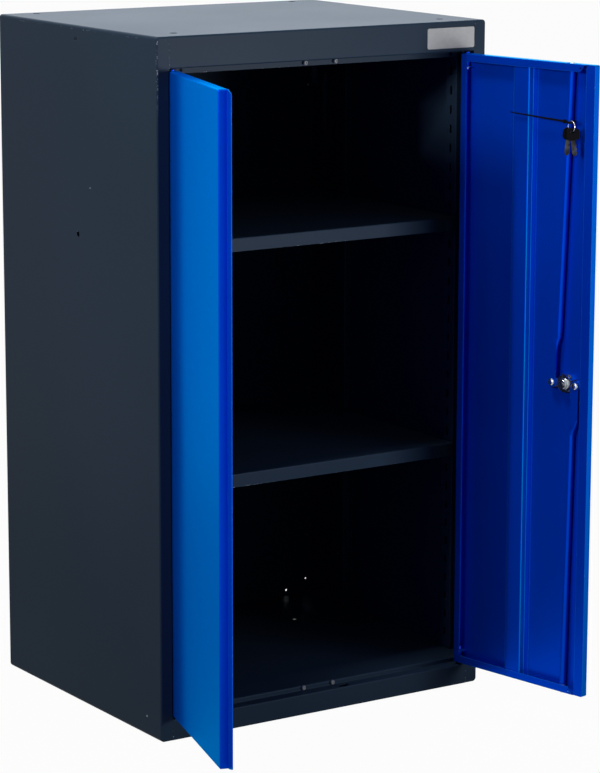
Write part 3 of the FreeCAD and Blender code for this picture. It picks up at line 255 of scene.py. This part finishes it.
# Painted light on the stiffener's flanks that face the free edge: a paler tone.
TO_FREE_EDGE = (0.182, -0.983, 0.0)
PAINTED_SIDE_LIGHT_TONE = rgb(0.0, 0.29, 0.66)
door_paint = powder_coat("door_paint", **SHEET_COAT)
stiffener_coat_with_painted_light = powder_coat("stiffener_coat_with_painted_light", **SHEET_COAT, painted_side_light=(TO_FREE_EDGE, PAINTED_SIDE_LIGHT_TONE))
rod_paint = powder_coat("rod_paint", **DOOR_COAT, bare_ends=(0.0405, 0.8535))


# Metals, rubber and plastics

ALONG_HEIGHT = (1.0, 1.0, 0.15)
ALONG_BLADE = (1.0, 1.0, 0.25)
ALONG_WIDTH = (0.06, 1.0, 1.0)
NO_WAY = (1.0, 1.0, 1.0)
GRAIN_DEPTH = 0.0001
MOULD_EDGE = 0.0006


def brushed(name, colour, dull, roughness, run, metallic=1.0, overspray=None):
    """Metal with fine lines along one direction of the piece, and drifts of paint if sprayed over."""
    metal = Finish(name)
    place = metal.place()
    lines = metal.noise(metal.stretched(place, run), size=0.0006, detail=3.0)
    cloud = metal.noise(place, size=0.012)
    shade = metal.blend(metal.span(cloud, low=0.3, high=0.7), dull, colour)
    if overspray:
        mist = metal.span(metal.noise(place, size=0.005), low=0.38, high=0.55)
        shade = metal.blend(mist, shade, overspray)
    return metal.done(
        {
            "Base Color": shade,
            "Metallic": metallic,
            "Roughness": roughness + 0.16 * (lines - 0.5) + 0.1 * (cloud - 0.5),
            "Normal": metal.bump(lines, strength=0.10, depth=GRAIN_DEPTH),
        }
    )


def moulded(name, colour, pale_marks, roughness, gloss=0.5):
    """Rubber or plastic with a fine moulded grain."""
    skin = Finish(name)
    place = skin.place()
    cloud = skin.noise(place, size=0.006)
    grain = skin.noise(place, size=0.0005)
    rim = skin.span(skin.edge(MOULD_EDGE), low=0.05, high=0.3)
    return skin.done(
        {
            "Base Color": skin.blend(rim * 0.5 + 0.3 * cloud, colour, pale_marks),
            "Roughness": roughness + 0.15 * (cloud - 0.5),
            "Specular IOR Level": gloss,
            "Normal": skin.bump(grain, strength=0.2, depth=GRAIN_DEPTH),
        }
    )


bright_steel = brushed(
    "bright_steel",
    colour=rgb(0.68, 0.69, 0.71),
    dull=rgb(0.55, 0.56, 0.58),
    roughness=0.24,
    run=ALONG_HEIGHT,
)
sprayed_steel = brushed(
    "sprayed_steel",
    colour=rgb(0.60, 0.62, 0.66),
    dull=rgb(0.48, 0.50, 0.55),
    roughness=0.30,
    run=ALONG_HEIGHT,
    overspray=DOOR_PALE,
)
key_steel = brushed(
    "key_steel",
    colour=rgb(0.07, 0.075, 0.085),
    dull=rgb(0.006, 0.007, 0.010),
    roughness=0.24,
    run=ALONG_BLADE,
)
zinc = brushed(
    "zinc",
    colour=rgb(0.60, 0.62, 0.65),
    dull=rgb(0.44, 0.47, 0.51),
    roughness=0.22,
    run=NO_WAY,
)
lock_chrome = brushed(
    "lock_chrome",
    colour=rgb(0.76, 0.77, 0.79),
    dull=rgb(0.68, 0.69, 0.71),
    roughness=0.12,
    run=NO_WAY,
)
plate_aluminium = brushed(
    "plate_aluminium",
    colour=rgb(0.17, 0.173, 0.18),
    dull=rgb(0.15, 0.153, 0.158),
    roughness=0.55,
    run=ALONG_WIDTH,
    metallic=0.5,
)
grey_rubber = moulded(
    "grey_rubber",
    colour=rgb(0.12, 0.125, 0.135),
    pale_marks=rgb(0.25, 0.26, 0.28),
    roughness=0.6,
)
BLACK = {"colour": rgb(0.003, 0.003, 0.004), "pale_marks": rgb(0.008, 0.008, 0.010), "gloss": 0.03}
black_nylon = moulded("black_nylon", **BLACK, roughness=0.50)
key_plastic = moulded("key_plastic", **BLACK, roughness=0.45)


# Finishes on the pieces, by material slot, and by piece where a slot has more than one finish

finish_of = {
    "carcass_paint": carcass_paint,
    "door_paint": door_paint,
    "bright_steel": bright_steel,
    "zinc": zinc,
    "lock_chrome": lock_chrome,
    "plate_aluminium": plate_aluminium,
    "grey_rubber": grey_rubber,
    "black_nylon": black_nylon,
    "key_plastic": key_plastic,
}
finish_of_node = {
    "key_blades": key_steel,
    "right_door_stiffener": stiffener_coat_with_painted_light,
    "upper_lock_rod": rod_paint,
    "lower_lock_rod": rod_paint,
    "left_upper_hinge_pin": sprayed_steel,
    "left_lower_hinge_pin": sprayed_steel,
    "right_upper_hinge_pin": sprayed_steel,
    "right_lower_hinge_pin": sprayed_steel,
    "left_pin_clips": sprayed_steel,
    "right_pin_clips": sprayed_steel,
}
for name, piece in nodes.items():
    for slot in piece.material_slots:
        slot_name = slot.material.name.split(".")[0]
        slot.material = finish_of_node.get(name, finish_of[slot_name])


# Floor and surroundings

FLOOR_REACH = 40.0
FLOOR_GREY = rgb(0.22, 0.22, 0.22)
WHITE = rgb(1.0, 1.0, 1.0)
FLOOR_WHITE_SHARE = 0.97
# Share of white that gloss sees near the cabinet, a painted shade.
GLOSS_SHARE_IN_PAINTED_SHADE = 0.62
SKY_DIM = {"Color": rgb(0.9, 0.95, 1.0), "Strength": 0.06}


def floor_finish():
    """Pale floor, white to the camera and to gloss, with painted shade: dimmer to gloss near the cabinet,
    dark under it.
    """
    floor = Finish("pale_floor")
    place = floor.place()
    across = floor.value("ABSOLUTE", floor.part_of(place, "X"), 0.0)
    along = floor.value("ABSOLUTE", floor.part_of(place, "Y"), 0.0)
    # Painted shadow: no glow in the cabinet's footprint, where the grey floor shows its own shading.
    beside = floor.span(across, low=0.225, high=0.245)
    before = floor.span(along, low=0.180, high=0.200)
    under = (1 - beside) * (1 - before)
    # Painted shade in reflections: gloss sees less white near the cabinet.
    far = floor.span(floor.vector("LENGTH", place), low=0.9, high=1.7)
    in_gloss = GLOSS_SHARE_IN_PAINTED_SHADE + (1 - GLOSS_SHARE_IN_PAINTED_SHADE) * far
    share = floor.seen(in_gloss) * (1 - under) * FLOOR_WHITE_SHARE
    dull = floor.node("ShaderNodeBsdfDiffuse", {}, {"Color": FLOOR_GREY})
    white = floor.node("ShaderNodeEmission", {}, {"Color": WHITE})
    mixed = floor.node("ShaderNodeMixShader", {}, {0: share, 1: dull, 2: white})
    floor.node("ShaderNodeOutputMaterial", {}, {"Surface": mixed})
    return floor.made


floor_mesh = bpy.data.meshes.new("floor")
floor_mesh.from_pydata(
    [
        (-FLOOR_REACH, -FLOOR_REACH, 0.0),
        (FLOOR_REACH, -FLOOR_REACH, 0.0),
        (FLOOR_REACH, FLOOR_REACH, 0.0),
        (-FLOOR_REACH, FLOOR_REACH, 0.0),
    ],
    [],
    [(0, 1, 2, 3)],
)
floor = bpy.data.objects.new("floor", floor_mesh)
bpy.context.scene.collection.objects.link(floor)
floor_mesh.materials.append(floor_finish())


def surroundings():
    """White to the camera and to gloss, dim to everything else."""
    sky = Finish("surroundings", bpy.data.worlds)
    dim = sky.node("ShaderNodeBackground", {}, SKY_DIM)
    white = sky.node("ShaderNodeBackground", {}, {"Color": WHITE})
    mixed = sky.node("ShaderNodeMixShader", {}, {0: sky.seen(), 1: dim, 2: white})
    sky.node("ShaderNodeOutputWorld", {}, {"Surface": mixed})
    return sky.made


bpy.context.scene.world = surroundings()


# Lamps

def softbox(name, place, aim, wide, tall, watts, beam=180.0, tint=(1.0, 1.0, 1.0)):
    """A flat soft lamp that faces a point of the cabinet and isn't seen itself."""
    lamp = bpy.data.lights.new(name, "AREA")
    lamp.shape = "RECTANGLE"
    lamp.size = wide
    lamp.size_y = tall
    lamp.energy = watts
    lamp.spread = math.radians(beam)
    lamp.color = tint
    stand = bpy.data.objects.new(name, lamp)
    stand.location = place
    facing = Vector(aim) - Vector(place)
    stand.rotation_mode = "QUATERNION"
    stand.rotation_quaternion = facing.to_track_quat("-Z", "Y")
    stand.visible_camera = False
    bpy.context.scene.collection.objects.link(stand)


softbox(
    "left_strip",
    place=(-5.55, -1.86, 2.2),
    aim=(0.2, -0.3, 1.0),
    wide=0.10,
    tall=0.9,
    watts=10.5,
    beam=44.0,
)
softbox(
    "side_softbox",
    place=(-2.8, 0.35, 2.0),
    aim=(-0.25, -0.15, 0.95),
    wide=0.8,
    tall=0.9,
    watts=0.7,
    beam=50.0,
)
softbox(
    "high_softbox",
    place=(-1.05, -0.22, 3.3),
    aim=(0.2, -0.28, 0.5),
    wide=0.6,
    tall=0.6,
    watts=7.3,
    beam=60.0,
)
softbox(
    "right_softbox",
    place=(1.05, -2.45, 0.60),
    aim=(-0.15, -0.2, 0.75),
    wide=0.6,
    tall=0.6,
    watts=6.2,
    beam=60.0,
)
softbox(
    "rear_softbox",
    place=(1.7, 3.8, 2.0),
    aim=(0.0, 0.0, 0.9),
    wide=5.0,
    tall=3.0,
    watts=79.0,
    tint=(0.70, 0.84, 1.0),
)


# Camera

CAMERA_PLACE = Vector((-2.16434, -3.43561, 1.22882))
CAMERA_TURN = math.radians(33.3365)
CAMERA_PITCH = math.radians(-11.5012)
CAMERA_ROLL = math.radians(-0.144)
FOCAL_PIXELS = 3067.37
PICTURE_TALL = 773
SENSOR = 36.0
FARTHEST = 200.0

ahead = Vector(
    (
        math.sin(CAMERA_TURN) * math.cos(CAMERA_PITCH),
        math.cos(CAMERA_TURN) * math.cos(CAMERA_PITCH),
        math.sin(CAMERA_PITCH),
    )
)
level = ahead.cross(Vector((0.0, 0.0, 1.0))).normalized()
down = ahead.cross(level)
right = math.cos(CAMERA_ROLL) * level + math.sin(CAMERA_ROLL) * down
under = math.cos(CAMERA_ROLL) * down - math.sin(CAMERA_ROLL) * level
lens = bpy.data.cameras.new("camera")
lens.sensor_width = SENSOR
lens.lens = FOCAL_PIXELS * SENSOR / PICTURE_TALL
lens.clip_end = FARTHEST
camera = bpy.data.objects.new("camera", lens)
turn = Matrix((right, -under, -ahead)).transposed()
camera.matrix_world = Matrix.Translation(CAMERA_PLACE) @ turn.to_4x4()
bpy.context.scene.collection.objects.link(camera)
bpy.context.scene.camera = camera
bpy.context.scene.view_settings.view_transform = "Standard"


# Update of the scene, then the end

bpy.context.view_layer.update()
